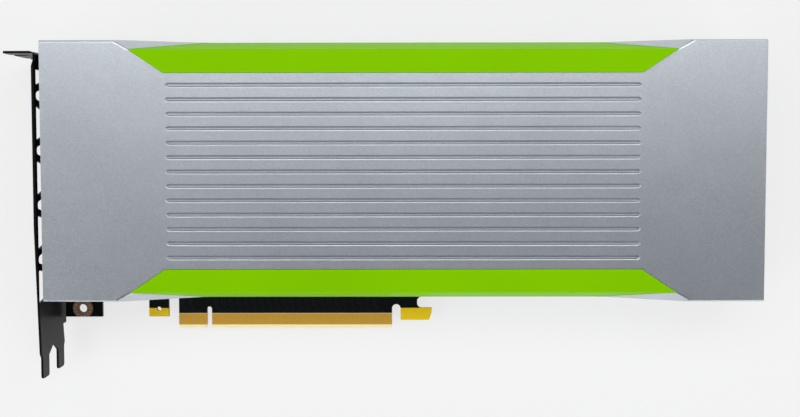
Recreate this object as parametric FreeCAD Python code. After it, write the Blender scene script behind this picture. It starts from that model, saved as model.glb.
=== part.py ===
import FreeCAD, Part
import math
import os

# Passive accelerator card, dual slot and full height.
#
# X runs along the card away from the slot bracket, Y runs up the card from its edge
# fingers, and Z points out of the component side. X = 0 is the middle of the key notch,
# Y = 0 is the edge of the fingers, Z = 0 is the board's component face. The card lies on
# its backplate.

V = FreeCAD.Vector

# ---------------------------------------------------------------- driving sizes (mm)

slot_pitch = 20.32              # distance between neighbouring expansion slots

# Shroud
shroud_left = -56.1             # open end beside the slot bracket
shroud_length = 266.4
shroud_bottom_y = 14.9          # lower side plane
shroud_width = 96.4
shroud_front_z = 34.3
shroud_wall = 1.6
shroud_to_board = 0.2           # gap under the side walls
shroud_bevel = 0.5              # bevel along the two long front edges, across the face
shroud_bevel_drop = 0.8         # the same bevel, down the side
plain_end = 27.0                # full section at each end, up to the facets
facet_front_end = 32.8          # from the end to the facet's corner on the front
facet_foot_end = 62.2           # from the end to the facet's corner on the side
facet_inset = 3.75              # how far the facet cuts into the front face
facet_foot_z = 17.8             # where the facet meets the side plane

# Grooves in the front face
groove_count = 13
groove_pitch = 5.29
groove_width = 1.5
groove_floor = 0.5              # width of the flat floor
groove_depth = 0.6
groove_end = 45.8               # from the shroud's end to the groove's tip
groove_point = 0.9              # length of the pointed tip

# Trims
trim_band = 8.3                 # width of the trim's band on the front face
trim_point_end = 45.3           # from the shroud's end to the band's inner corner
trim_recess = 0.65              # depth of the pocket that holds a trim
trim_proud = 0.35               # how far a trim stands out of the shroud
trim_gap = 0.08                 # clearance round a trim in its pocket

# Slot bracket
bracket_sheet = 0.86
bracket_to_shroud = 2.1
bracket_back_z = -3.95
bracket_front_z = 34.2
bracket_below_top = 4.0         # from the shroud's upper side to the flange's face
flange_depth = 11.3             # from the plate's inner face
flange_bend = 1.6               # outer bend radius
notch_width = 4.42
notch_depth = 6.4
notch_z = 2.0                   # first screw notch, the second is one slot pitch on
shoulder_drop = 5.4             # strip under the flange where the plate is set back
shoulder_setback = 2.2
taper_top_y = 42.0              # the plate's front edge leans back below this
taper_mid_y = 14.5
taper_mid = 2.6
taper_low_y = -5.4
taper_low = 4.5
step_y = 1.8                    # foot of the full-width plate at the back edge
step_in = 4.2
tongue_tip_y = -15.0
tongue_width = 8.0
tongue_root_y = -7.2
tongue_z = -0.2                 # back edge of the first tongue
tongue_shoulder = 1.1           # the plate stands out this far behind the first tongue
tongue_corner = 1.2
crotch_y = -4.2                 # top of the gap between the tongues
crotch_width = 1.6
ear_width = 10.0
ear_length = 12.0
ear_to_rail = 4.48              # from an ear's middle to the rail's inner face

# Vents in the bracket
vent_pitch = 20.3               # one wide and one narrow window
vent_wide = 12.8
vent_narrow = 2.4
vent_taper = 4.8                # how much a window's width changes from end to end
vent_least = 2.0                # shortest piece of a window that is still cut
vent_height = 13.2              # across the card, along Z
vent_first_y = 20.1
vent_margin = 2.9               # solid strip left at the bracket's front edge
vent_rib = 2.6                  # strip between the two rows
vent_corner = 0.7               # cut across each corner
vent_to_shoulder = 1.2          # solid strip left below the shoulder

# Board
board_t = 1.57
board_to_bracket = 1.0
board_right = 206.0
board_edge_y = 14.3             # lower edge where no tab stands below it
board_top_gap = 0.4             # upper edge inside the shroud's side plane
fingers_left = -12.15
fingers_right = 72.65
key_width = 1.9
key_top = 8.5
slot_width = 3.35
slot_top = 9.4
bevel_height = 1.3
bevel_depth = 0.32
hook_right = 88.4
hook_low_y = 3.12
hook_top_y = 7.9
hook_cut_x = 1.1
hook_cut_y = 2.95
neck_width = 6.6
neck_radius = 1.8
lip_y = 12.4                    # board edge beside the hook
lip_right = 100.0
lip_slope = 1.9
bracket_tab_right = -42.6
bracket_tab_y = 4.47
bracket_tab_hole_x = -50.4
bracket_tab_hole_y = 7.8
bracket_tab_hole_r = 1.65
ground_pad_r = 4.0
small_tab_left = -24.0
small_tab_right = -16.2
small_tab_y = 4.54
small_tab_hole_r = 0.85
small_tab_hole_y = 7.6
small_tab_gold_y = 7.9

# Contacts and plating
contact_pitch = 1.0
contact_width = 0.7
contact_top = 5.55
contact_t = 0.05
short_row = 11                  # contacts on the bracket side of the key
long_row = 71
key_to_contact = 1.5

# Processor and memory
processor_x = 62.0
substrate_t = 1.4
die_side = 27.0
die_t = 0.8
paste_t = 0.1
memory_long = 14.0
memory_short = 12.0
memory_t = 1.1
memory_gap = 4.0                # between the substrate and the memory
memory_to_rail = 1.48
memory_spacing = 2.0

# Cooler
chamber_length = 122.0
chamber_to_rail = 1.0           # along its long sides
chamber_t = 3.0
chamber_corner = 4.0
fin_left = -44.0
fin_right = 182.0
fin_pitch = 1.75
fin_t = 0.35
fin_skin = 0.5
fin_to_shroud = 0.5

# Base frame
frame_left = -54.0
frame_right = 209.0
rail_gap = 0.15                 # between a rail and the shroud's wall
rail_width = 3.97
fin_gap = 0.3                   # between a rail and the fins
rail_height = 15.6
window_gap = 0.6                # round the vapor chamber
parts_window_left = 144.0       # opening over the inductors and capacitors
parts_window_right = 171.0
parts_window_margin = 6.0       # from the rails
lug_width = 9.0
lug_length = 13.0
lug_height = 10.0
lug_hole_r = 1.25
lug_hole_depth = 8.0

# Power delivery parts
stage_x = 133.0
stage_length = 6.0
stage_width = 5.0
stage_t = 0.8
phase_pitch = 8.9
inductor_x = 150.0
inductor_side = 8.0
inductor_t = 4.9
inductor_corner = 1.0
capacitor_x = 163.0
capacitor_r = 3.15
capacitor_sides = 12
capacitor_t = 4.8

# Power connector
connector_right = 207.0
connector_length = 15.0
connector_from_top = 23.3       # from the shroud's upper side to its middle
connector_columns = 4
connector_rows = 2
connector_pitch = 4.2
connector_wall = 1.1
connector_cavity = 3.5
connector_cavity_depth = 12.0
latch_width = 3.2
latch_top_width = 1.6
latch_t = 1.4
latch_length = 7.0
pin_side = 1.1
pin_to_mouth = 2.0

# Backplate
backplate_left = -44.0
backplate_right = 205.0
backplate_inset = 0.5           # inside the board's edges
backplate_t = 1.0
backplate_rim = 1.2
backplate_corner = 3.0
rim_gap = 0.2                   # between the rim and the board
film_t = 0.25
spring_window_margin = 6.0      # from a spring screw to the window's edge
spring_window_corner = 8.0

# Retention spring
spring_to_substrate = 5.0       # from the substrate's edge out to a screw, X and Y
spring_arm = 9.0
spring_t = 0.8
spring_rise = 0.9               # how far its middle stands off the board
spring_flat_r = 14.0            # radius of the raised middle
spring_end = 5.0                # arm past its screw
post_r = 3.0                    # across the corners of a hexagon
post_sides = 6
post_gap = 0.2                  # between a chamber post and the board

# Screws
screw_sides = 12                # flats that stand for the round of a screw or its hole
screw_r = 1.2
thread_hole_r = 1.27
clear_hole_r = 1.5
screw_head_r = 2.4
screw_head_t = 1.2              # countersunk head
pan_head_r = 2.7
pan_head_t = 1.3
boss_r = 3.4
back_screw_first = -38.0
back_screw_last = 198.0
back_screw_count = 4
back_screw_tip_z = 5.0
side_screw_z = 10.2
side_screw_end = 26.0           # from the shroud's end
side_screw_count = 3
side_screw_reach = 4.4
bracket_screw_x = -51.0
bracket_screw_tip_z = 4.6
spring_screw_tip_z = 2.3
tip_room = 0.5                  # tapped hole past a screw's tip

# Modelling
past = 1.0                      # how far a cutting tool runs past what it cuts
near = 0.01                     # places closer than this count as one
reach = 400.0                   # larger than the card, for half-space tools

# ---------------------------------------------------------------- derived places

shroud_right = shroud_left + shroud_length
shroud_top_y = shroud_bottom_y + shroud_width
mid_x = (shroud_left + shroud_right) / 2
mid_y = (shroud_bottom_y + shroud_top_y) / 2
side = shroud_width / 2                         # centre line to side plane
bracket_inner = shroud_left - bracket_to_shroud
bracket_outer = bracket_inner - bracket_sheet
board_left = bracket_inner + board_to_bracket
board_top_y = shroud_top_y - board_top_gap
hook_left = fingers_right + slot_width
small_tab_x = (small_tab_left + small_tab_right) / 2
board_back = -board_t
die_top = substrate_t + die_t
chamber_low = die_top + paste_t
chamber_top = chamber_low + chamber_t
fin_top = shroud_front_z - shroud_wall - fin_to_shroud
rail_outer = side - shroud_wall - rail_gap
rail_inner = rail_outer - rail_width
rail_middle = (rail_outer + rail_inner) / 2
fin_count = int((2 * (rail_inner - fin_gap) - fin_t) / fin_pitch)
fin_half = fin_pitch * fin_count / 2 + fin_t / 2
chamber_half = rail_inner - chamber_to_rail
memory_away = rail_inner - memory_to_rail - memory_short / 2
substrate_side = 2 * (memory_away - memory_short / 2 - memory_gap)
phase_count = int(2 * (rail_inner - parts_window_margin) / phase_pitch)
ear_offset = rail_inner - ear_to_rail
spring_reach = substrate_side / 2 + spring_to_substrate
memory_per_side = int((2 * (spring_reach - post_r) + memory_spacing)
                      / (memory_long + memory_spacing))
bracket_top_y = shroud_top_y - bracket_below_top
shoulder_y = bracket_top_y - shoulder_drop
vent_top_y = shoulder_y - vent_to_shoulder
vent_low_y = vent_first_y - vent_wide / 2
vent_count = 1 + int((vent_top_y - vent_least - vent_low_y) / vent_pitch)
connector_y = shroud_top_y - connector_from_top
backplate_low = bracket_back_z
backplate_high = backplate_low + backplate_t
ear_back = board_back - bracket_sheet


# ---------------------------------------------------------------- shape helpers

def block(x0, x1, y0, y1, z0, z1):
    """Box between two corners."""
    return Part.makeBox(x1 - x0, y1 - y0, z1 - z0, V(x0, y0, z0))


def upright(x, y, z0, z1, radius):
    """Round bar along Z."""
    return Part.makeCylinder(radius, z1 - z0, V(x, y, z0))


def faceted_bar(base, axis, length, first_r, last_r, sides):
    """Bar with flat sides along an axis, straight or tapering."""
    turn = FreeCAD.Rotation(V(0, 0, 1), axis)
    rings = []
    for distance, radius in ((0, first_r), (length, last_r)):
        angles = [2 * math.pi * number / sides for number in range(sides)]
        corners = [base + turn.multVec(V(radius * math.cos(angle), radius * math.sin(angle), distance))
                   for angle in angles]
        rings.append(Part.makePolygon(corners + corners[:1]))
    return Part.makeLoft(rings, True, True)


def screw_bar(x, y, z0, z1, radius):
    """Screw shank or head, or the hole for one, along Z."""
    return faceted_bar(V(x, y, z0), V(0, 0, 1), z1 - z0, radius, radius, screw_sides)


def countersunk(place, into, length, shank_r, head_r):
    """Flat-head screw, or its hole, from a face inward."""
    head = faceted_bar(place, into, screw_head_t, head_r, shank_r, screw_sides)
    shank = faceted_bar(place + into * screw_head_t, into, length - screw_head_t,
                        shank_r, shank_r, screw_sides)
    return head.fuse(shank)


def flat_piece(points, z0, z1):
    """Outline in X and Y, given a thickness along Z."""
    corners = [V(x, y, z0) for x, y in points]
    outline = Part.makePolygon(corners + corners[:1])
    return Part.Face(outline).extrude(V(0, 0, z1 - z0))


def end_piece(points, x0, x1):
    """Outline in Y and Z, given a thickness along X."""
    corners = [V(x0, y, z) for y, z in points]
    outline = Part.makePolygon(corners + corners[:1])
    return Part.Face(outline).extrude(V(x1 - x0, 0, 0))


def soften(solid, radius, wanted):
    """Fillet the edges that pass a test."""
    edges = [edge for edge in solid.Edges if wanted(edge)]
    return solid.makeFillet(radius, edges)


def along(edge, direction):
    """True for a straight edge that runs along a direction."""
    start = edge.Vertexes[0].Point
    end = edge.Vertexes[-1].Point
    run = end - start
    return run.Length > 0 and run.cross(direction).Length < 1e-6 * run.Length


def joined(solids):
    """One solid from several that touch."""
    whole = solids[0].multiFuse(solids[1:])
    return whole.removeSplitter()


def mirror_up(shape):
    """The same shape on the other side of the card's long centre line."""
    return shape.mirror(V(0, mid_y, 0), V(0, 1, 0))


def mirror_along(shape):
    """The same shape at the other end of the shroud."""
    return shape.mirror(V(mid_x, 0, 0), V(1, 0, 0))


def beyond(p, q, r, inset):
    """Everything outside the plane p-q-r, once the plane is moved inward."""
    normal = (q - p).cross(r - p)
    normal.normalize()
    slab = Part.makeBox(2 * reach, 2 * reach, reach, V(-reach, -reach, 0))
    slab.Placement = FreeCAD.Placement(p - normal * inset, FreeCAD.Rotation(V(0, 0, 1), normal))
    return slab


# ---------------------------------------------------------------- shroud and trims

# Corners of one facet, at the left end and on the upper side.
facet_a = V(shroud_left + plain_end, shroud_top_y - shroud_bevel, shroud_front_z)
facet_b = V(shroud_left + facet_front_end, shroud_top_y - facet_inset, shroud_front_z)
facet_c = V(shroud_left + facet_foot_end, shroud_top_y, facet_foot_z)
facet_e = V(shroud_left + trim_point_end, facet_b.y - trim_band, shroud_front_z)
along_x = V(1, 0, 0)


def faceted_form(inset, front_inset, side_inset, left, right, low):
    """The shroud's outer form, with its planes moved inward."""
    edge = side - side_inset
    form = block(left, right, mid_y - edge, mid_y + edge, low, shroud_front_z - front_inset)
    facet = beyond(facet_b, facet_b + along_x, facet_c, inset)
    corner = beyond(facet_a, facet_b, facet_c, inset)
    cut = facet.common(corner).common(mirror_along(corner))
    bevel_top = V(0, shroud_top_y - shroud_bevel, shroud_front_z)
    bevel_foot = V(0, shroud_top_y, shroud_front_z - shroud_bevel_drop)
    bevel = beyond(bevel_top, bevel_top + along_x, bevel_foot, inset)
    for tool in (cut, mirror_up(cut), bevel, mirror_up(bevel)):
        form = form.cut(tool)
    return form


def trim_region(grow):
    """Space that the upper trim may fill, with a clearance round it."""
    band = block(shroud_left, shroud_right, facet_e.y - grow, shroud_top_y,
                 facet_foot_z - grow, shroud_front_z + trim_proud)
    across_facet = (facet_c - facet_b).cross(along_x)
    front_end = beyond(facet_b, facet_b + V(0, 0, 1), facet_e, grow)
    side_end = beyond(facet_b, facet_b + across_facet, facet_c, grow)
    for end in (front_end, side_end):
        band = band.common(end).common(mirror_along(end))
    return band


def groove(y):
    """One pressed groove with pointed ends, to be cut from the front face."""
    rings = []
    for z, half in ((shroud_front_z, groove_width / 2),
                    (shroud_front_z - groove_depth, groove_floor / 2)):
        tip = mid_x - shroud_left - groove_end - (groove_width / 2 - half)
        square = tip - groove_point
        outline = [(-tip, 0), (-square, half), (square, half),
                   (tip, 0), (square, -half), (-square, -half)]
        corners = [V(mid_x + x, y + across, z) for x, across in outline]
        rings.append(Part.makePolygon(corners + corners[:1]))
    return Part.makeLoft(rings, True, True)


def side_screw_places():
    """X of each screw along a long side."""
    first = shroud_left + side_screw_end
    last = shroud_right - side_screw_end
    step = (last - first) / (side_screw_count - 1)
    return [first + step * number for number in range(side_screw_count)]


def side_screw(x, length, shank_r, head_r):
    """Countersunk screw, or its hole, in the upper side."""
    return countersunk(V(x, shroud_top_y, side_screw_z), V(0, -1, 0), length, shank_r, head_r)


def make_shroud():
    """Folded cover, open at both ends and over the board."""
    outer = faceted_form(0, 0, 0, shroud_left, shroud_right, shroud_to_board)
    inner = faceted_form(shroud_wall, shroud_wall, shroud_wall,
                         shroud_left - past, shroud_right + past, shroud_to_board - past)
    shell = outer.cut(inner)
    floor = faceted_form(trim_recess, trim_recess, 0, shroud_left, shroud_right, 0)
    pocket = trim_region(trim_gap).cut(floor)
    for tool in (pocket, mirror_up(pocket)):
        shell = shell.cut(tool)
    first = mid_y - groove_pitch * (groove_count - 1) / 2
    for number in range(groove_count):
        shell = shell.cut(groove(first + groove_pitch * number))
    hole = screw_head_r + (clear_hole_r - screw_r)
    for x in side_screw_places():
        cutter = side_screw(x, shroud_wall + past, clear_hole_r, hole)
        shell = shell.cut(cutter).cut(mirror_up(cutter))
    return shell


def make_upper_trim():
    """Green strip folded over the facet's edge, seated in its pocket."""
    outside = faceted_form(-trim_proud, -trim_proud, 0, shroud_left, shroud_right, 0)
    floor = faceted_form(trim_recess, trim_recess, 0, shroud_left, shroud_right, 0)
    return trim_region(0).common(outside).cut(floor)


def make_shroud_screws():
    """Countersunk screws that hold the shroud to the rails."""
    screws = []
    for x in side_screw_places():
        upper = side_screw(x, side_screw_reach, screw_r, screw_head_r)
        screws += [upper, mirror_up(upper)]
    return Part.makeCompound(screws)


# ---------------------------------------------------------------- slot bracket

def vent_window(y, first, last, z_first, z_last):
    """Window whose width changes from its first edge to its last."""
    corners = [(y - first / 2, z_first), (y + first / 2, z_first),
               (y + last / 2, z_last), (y - last / 2, z_last)]
    window = end_piece(corners, bracket_outer - past, bracket_inner + past)
    return window.makeChamfer(vent_corner, [edge for edge in window.Edges if along(edge, along_x)])


def make_bracket():
    """Folded steel bracket: plate, flange, two tongues and two ears."""
    front = bracket_front_z
    back = bracket_back_z
    second = tongue_z + slot_pitch
    crotch = (tongue_z + tongue_width + second) / 2
    low = front - taper_low
    outline = [
        (bracket_top_y, back), (step_y, back), (step_y, back + step_in),
        (taper_low_y, tongue_z - tongue_shoulder),
        (tongue_root_y, tongue_z), (tongue_tip_y, tongue_z),
        (tongue_tip_y, tongue_z + tongue_width), (tongue_root_y, tongue_z + tongue_width),
        (crotch_y, crotch - crotch_width / 2), (crotch_y, crotch + crotch_width / 2),
        (tongue_root_y, second), (tongue_tip_y, second),
        (tongue_tip_y, second + tongue_width), (tongue_root_y, second + tongue_width),
        (taper_low_y, low), (taper_mid_y, front - taper_mid), (taper_top_y, front),
        (shoulder_y, front), (shoulder_y + shoulder_setback, front - shoulder_setback),
        (bracket_top_y, front - shoulder_setback)]
    plate = end_piece(outline, bracket_outer, bracket_inner)
    tips = [edge for edge in plate.Edges
            if along(edge, along_x) and edge.CenterOfMass.y < tongue_tip_y + near]
    plate = plate.makeFillet(tongue_corner, tips)

    flange_edge = bracket_inner - flange_depth
    flange_low = bracket_top_y - bracket_sheet
    flange = block(flange_edge, bracket_inner, flange_low, bracket_top_y, back, front)
    corners = [edge for edge in flange.Edges
               if along(edge, V(0, 1, 0)) and edge.CenterOfMass.x < flange_edge + near]
    flange = flange.makeFillet(tongue_corner, corners)
    half = notch_width / 2
    for z in (notch_z, notch_z + slot_pitch):
        inner_end = flange_edge + notch_depth
        mouth = block(flange_edge - past, inner_end - half, flange_low - past,
                      bracket_top_y + past, z - half, z + half)
        bed = Part.makeCylinder(half, bracket_sheet + 2 * past,
                                V(inner_end - half, flange_low - past, z), V(0, 1, 0))
        flange = flange.cut(mouth).cut(bed)
    bracket = joined([plate, flange])
    bend = [edge for edge in bracket.Edges
            if along(edge, V(0, 0, 1)) and abs(edge.CenterOfMass.x - bracket_inner) < near
            and abs(edge.CenterOfMass.y - bracket_top_y) < near]
    bracket = bracket.makeFillet(flange_bend, bend)

    row_front = bracket_front_z - vent_margin
    rows = [(row_front, row_front - vent_height),
            (row_front - 2 * vent_height - vent_rib, row_front - vent_height - vent_rib)]
    field = block(bracket_outer - past, bracket_inner + past, vent_low_y - past, vent_top_y,
                  bracket_back_z, bracket_front_z)
    for z_first, z_last in rows:
        for number in range(vent_count):
            y = vent_first_y + vent_pitch * number
            wide = vent_window(y, vent_wide, vent_wide - vent_taper, z_first, z_last)
            bracket = bracket.cut(wide.common(field))
        for number in range(vent_count - 1):
            y = vent_first_y + vent_pitch * (number + 1 / 2)
            narrow = vent_window(y, vent_narrow, vent_narrow + vent_taper, z_first, z_last)
            bracket = bracket.cut(narrow)

    for offset in (-ear_offset, ear_offset):
        y = mid_y + offset
        ear = block(bracket_inner - bracket_sheet, bracket_inner + ear_length,
                    y - ear_width / 2, y + ear_width / 2, ear_back, board_back)
        hole = screw_bar(bracket_screw_x, y, ear_back - past, board_back + past, clear_hole_r)
        ear = ear.cut(hole)
        bracket = joined([bracket, ear])
    return bracket


def make_bracket_screws():
    """Pan-head screws up through the ears and the board."""
    screws = []
    for offset in (-ear_offset, ear_offset):
        y = mid_y + offset
        head = screw_bar(bracket_screw_x, y, ear_back - pan_head_t, ear_back, pan_head_r)
        shank = screw_bar(bracket_screw_x, y, ear_back, bracket_screw_tip_z, screw_r)
        screws.append(head.fuse(shank))
    return Part.makeCompound(screws)


# ---------------------------------------------------------------- board

def back_screw_places():
    """X and Y of each screw along the two rails."""
    step = (back_screw_last - back_screw_first) / (back_screw_count - 1)
    return [(back_screw_first + step * number, mid_y + across)
            for number in range(back_screw_count)
            for across in (-rail_middle, rail_middle)]


def spring_screw_places():
    """X and Y of the four screws round the processor."""
    return [(processor_x + dx, mid_y + dy)
            for dx in (-spring_reach, spring_reach)
            for dy in (-spring_reach, spring_reach)]


def bracket_screw_places():
    """X and Y of the two screws in the bracket's ears."""
    return [(bracket_screw_x, mid_y + dy) for dy in (-ear_offset, ear_offset)]


def hook_outline():
    """Retention hook behind the edge fingers."""
    return [(hook_left, hook_low_y), (hook_right - hook_cut_x, hook_low_y),
            (hook_right, hook_low_y + hook_cut_y), (hook_right, hook_top_y),
            (hook_left, hook_top_y)]


def make_board():
    """Circuit board with its tabs, edge fingers, key notch and hook."""
    back = board_back
    lip = [(fingers_left, board_edge_y), (fingers_left, lip_y), (lip_right, lip_y),
           (lip_right + lip_slope, board_edge_y)]
    neck_right = hook_left + neck_width
    pieces = [
        block(board_left, board_right, board_edge_y, board_top_y, back, 0),
        flat_piece(lip, back, 0),
        block(board_left, bracket_tab_right, bracket_tab_y, board_edge_y, back, 0),
        block(small_tab_left, small_tab_right, small_tab_y, board_edge_y, back, 0),
        block(fingers_left, fingers_right, 0, lip_y, back, 0),
        flat_piece(hook_outline(), back, 0),
        block(hook_left, neck_right, hook_top_y, lip_y, back, 0),
        block(fingers_right, hook_left, slot_top - slot_width / 2, lip_y, back, 0)]
    board = joined(pieces)

    half_key = key_width / 2
    board = board.cut(block(-half_key, half_key, -past, key_top - half_key, back, 0))
    board = board.cut(upright(0, key_top - half_key, back, 0, half_key))
    slot_x = (fingers_right + hook_left) / 2
    board = board.cut(upright(slot_x, slot_top - slot_width / 2, back, 0, slot_width / 2))
    inner = [edge for edge in board.Edges if along(edge, V(0, 0, 1))
             and abs(edge.CenterOfMass.x - neck_right) < near
             and hook_top_y - near < edge.CenterOfMass.y < lip_y + near]
    board = board.makeFillet(neck_radius, inner)

    for z, drop in ((0, -bevel_depth), (back, bevel_depth)):
        wedge = [(-past, z - drop), (-past, z + drop * (1 + past / bevel_height)),
                 (bevel_height, z)]
        board = board.cut(end_piece(wedge, fingers_left - past, fingers_right + near))

    for x, y in back_screw_places() + spring_screw_places() + bracket_screw_places():
        board = board.cut(screw_bar(x, y, back, 0, clear_hole_r))
    board = board.cut(upright(bracket_tab_hole_x, bracket_tab_hole_y, back, 0,
                              bracket_tab_hole_r))
    return board.cut(upright(small_tab_x, small_tab_hole_y, back, 0, small_tab_hole_r))


def make_contacts(z0, z1):
    """Row of gold contacts on one face of the board."""
    low = bevel_height
    short = [-key_to_contact - contact_pitch * number for number in range(short_row)]
    long = [key_to_contact + contact_pitch * number for number in range(long_row)]
    half = contact_width / 2
    contacts = [block(x - half, x + half, low, contact_top, z0, z1)
                for x in sorted(short) + long]
    return Part.makeCompound(contacts)


def on_both_faces(make_layer):
    """Thin layer on the component face and on the back."""
    return Part.makeCompound([make_layer(0, contact_t),
                              make_layer(board_back - contact_t, board_back)])


def hook_layer(z0, z1):
    """Plating on the retention hook."""
    return flat_piece(hook_outline(), z0, z1)


def tab_layer(z0, z1):
    """Plating on the small tab."""
    sheet = block(small_tab_left, small_tab_right, small_tab_y, small_tab_gold_y, z0, z1)
    return sheet.cut(upright(small_tab_x, small_tab_hole_y, z0, z1, small_tab_hole_r))


def pad_layer(z0, z1):
    """Ground pad round the hole in the bracket tab."""
    disc = upright(bracket_tab_hole_x, bracket_tab_hole_y, z0, z1, ground_pad_r)
    room = block(board_left, bracket_tab_right, bracket_tab_y, board_top_y, z0, z1)
    hole = upright(bracket_tab_hole_x, bracket_tab_hole_y, z0, z1, bracket_tab_hole_r)
    return disc.common(room).cut(hole)


# ---------------------------------------------------------------- processor and memory

def centred(x, y, length, width, z0, z1):
    """Box round a point in the card's plane."""
    return block(x - length / 2, x + length / 2, y - width / 2, y + width / 2, z0, z1)


def memory_grid(z0, z1):
    """Chips, or the pads on them, along the four sides of the processor."""
    step = memory_long + memory_spacing
    chips = []
    for number in range(memory_per_side):
        shift = step * (number - (memory_per_side - 1) / 2)
        for sign in (-1, 1):
            chips.append(centred(processor_x + sign * memory_away, mid_y + shift,
                                 memory_short, memory_long, z0, z1))
            chips.append(centred(processor_x + shift, mid_y + sign * memory_away,
                                 memory_long, memory_short, z0, z1))
    return Part.makeCompound(chips)


def make_chamber():
    """Vapor chamber with four tapped hexagon posts for the retention spring's screws."""
    plate = centred(processor_x, mid_y, chamber_length, 2 * chamber_half, chamber_low, chamber_top)
    plate = soften(plate, chamber_corner, lambda edge: along(edge, V(0, 0, 1)))
    posts = [faceted_bar(V(x, y, post_gap), V(0, 0, 1), chamber_low - post_gap,
                         post_r, post_r, post_sides) for x, y in spring_screw_places()]
    chamber = joined([plate] + posts)
    for x, y in spring_screw_places():
        chamber = chamber.cut(screw_bar(x, y, post_gap - past, spring_screw_tip_z + tip_room,
                                        thread_hole_r))
    return chamber


def make_fins():
    """Stack of soldered fins, closed above and below and open at both ends."""
    low = chamber_top
    stack = [(mid_y - fin_half, low), (mid_y + fin_half, low),
             (mid_y + fin_half, fin_top), (mid_y - fin_half, fin_top)]
    outline = [V(fin_left, y, z) for y, z in stack]
    wires = [Part.makePolygon(outline + outline[:1])]
    for number in range(fin_count):
        y0 = mid_y - fin_half + fin_t + fin_pitch * number
        y1 = y0 + fin_pitch - fin_t
        channel = [V(fin_left, y0, low + fin_skin), V(fin_left, y1, low + fin_skin),
                   V(fin_left, y1, fin_top - fin_skin), V(fin_left, y0, fin_top - fin_skin)]
        wires.append(Part.makePolygon(channel + channel[:1]))
    section = Part.makeFace(wires, "Part::FaceMakerBullseye")
    return section.extrude(V(fin_right - fin_left, 0, 0))


# ---------------------------------------------------------------- base frame

def make_frame():
    """Cast frame: two rails on the board, a plate at each end of the vapor chamber."""
    rail = block(frame_left, frame_right, mid_y + rail_inner, mid_y + rail_outer,
                 0, rail_height)
    lug = block(frame_right - lug_length, frame_right, mid_y + rail_outer - lug_width,
                mid_y + rail_outer, chamber_low, chamber_low + lug_height)
    chamber_left = processor_x - chamber_length / 2 - window_gap
    chamber_right = processor_x + chamber_length / 2 + window_gap
    low_edge = mid_y - rail_inner
    high_edge = mid_y + rail_inner
    left_plate = block(frame_left, chamber_left, low_edge, high_edge, chamber_low, chamber_top)
    right_plate = block(chamber_right, fin_right, low_edge, high_edge, chamber_low, chamber_top)
    opening = block(parts_window_left, parts_window_right, low_edge + parts_window_margin,
                    high_edge - parts_window_margin, chamber_low - past, chamber_top + past)
    bosses = [screw_bar(x, y, 0, chamber_low, boss_r) for x, y in bracket_screw_places()]
    frame = joined([rail, mirror_up(rail), lug, mirror_up(lug),
                    left_plate, right_plate.cut(opening)] + bosses)

    for x, y in back_screw_places():
        frame = frame.cut(screw_bar(x, y, -past, back_screw_tip_z + tip_room, thread_hole_r))
    for x, y in bracket_screw_places():
        frame = frame.cut(screw_bar(x, y, -past, bracket_screw_tip_z + tip_room, thread_hole_r))
    for x in side_screw_places():
        hole = faceted_bar(V(x, shroud_top_y, side_screw_z), V(0, -1, 0),
                           side_screw_reach + tip_room, thread_hole_r, thread_hole_r, screw_sides)
        frame = frame.cut(hole).cut(mirror_up(hole))
    lug_hole = Part.makeCylinder(lug_hole_r, lug_hole_depth,
                                 V(frame_right, mid_y + rail_outer - lug_width / 2,
                                   chamber_low + lug_height / 2), V(-1, 0, 0))
    return frame.cut(lug_hole).cut(mirror_up(lug_hole))


# ---------------------------------------------------------------- power parts

def phase_places():
    """Y of each phase of the power supply."""
    return [mid_y + phase_pitch * (number - (phase_count - 1) / 2)
            for number in range(phase_count)]


def make_inductors():
    """Moulded inductors with cut corners."""
    half = inductor_side / 2
    cut = half - inductor_corner
    coils = []
    for y in phase_places():
        outline = [(inductor_x - half, y - cut), (inductor_x - cut, y - half),
                   (inductor_x + cut, y - half), (inductor_x + half, y - cut),
                   (inductor_x + half, y + cut), (inductor_x + cut, y + half),
                   (inductor_x - cut, y + half), (inductor_x - half, y + cut)]
        coils.append(flat_piece(outline, 0, inductor_t))
    return Part.makeCompound(coils)


def make_capacitors():
    """Polymer capacitors, one to a phase."""
    return Part.makeCompound([faceted_bar(V(capacitor_x, y, 0), V(0, 0, 1), capacitor_t,
                                          capacitor_r, capacitor_r, capacitor_sides)
                              for y in phase_places()])


def connector_cells():
    """Y and Z of the middle of each cavity in the power connector."""
    height = 2 * connector_wall + connector_pitch * connector_rows
    return [(connector_y + connector_pitch * (column - (connector_columns - 1) / 2),
             height / 2 + connector_pitch * (row - (connector_rows - 1) / 2))
            for column in range(connector_columns)
            for row in range(connector_rows)]


def make_connector():
    """Power connector housing, its mouth towards the card's rear end."""
    width = 2 * connector_wall + connector_pitch * connector_columns
    height = 2 * connector_wall + connector_pitch * connector_rows
    left = connector_right - connector_length
    housing = block(left, connector_right, connector_y - width / 2, connector_y + width / 2,
                    0, height)
    latch = end_piece([(connector_y - latch_width / 2, height),
                       (connector_y + latch_width / 2, height),
                       (connector_y + latch_top_width / 2, height + latch_t),
                       (connector_y - latch_top_width / 2, height + latch_t)],
                      connector_right - latch_length, connector_right)
    housing = joined([housing, latch])
    half = connector_cavity / 2
    for y, z in connector_cells():
        cavity = block(connector_right - connector_cavity_depth, connector_right + past,
                       y - half, y + half, z - half, z + half)
        housing = housing.cut(cavity)
    return housing


def make_connector_pins():
    """Square pins that stand in the connector's cavities."""
    back = connector_right - connector_cavity_depth
    half = pin_side / 2
    pins = [block(back, connector_right - pin_to_mouth, y - half, y + half, z - half, z + half)
            for y, z in connector_cells()]
    return Part.makeCompound(pins)


# ---------------------------------------------------------------- back of the card

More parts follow.
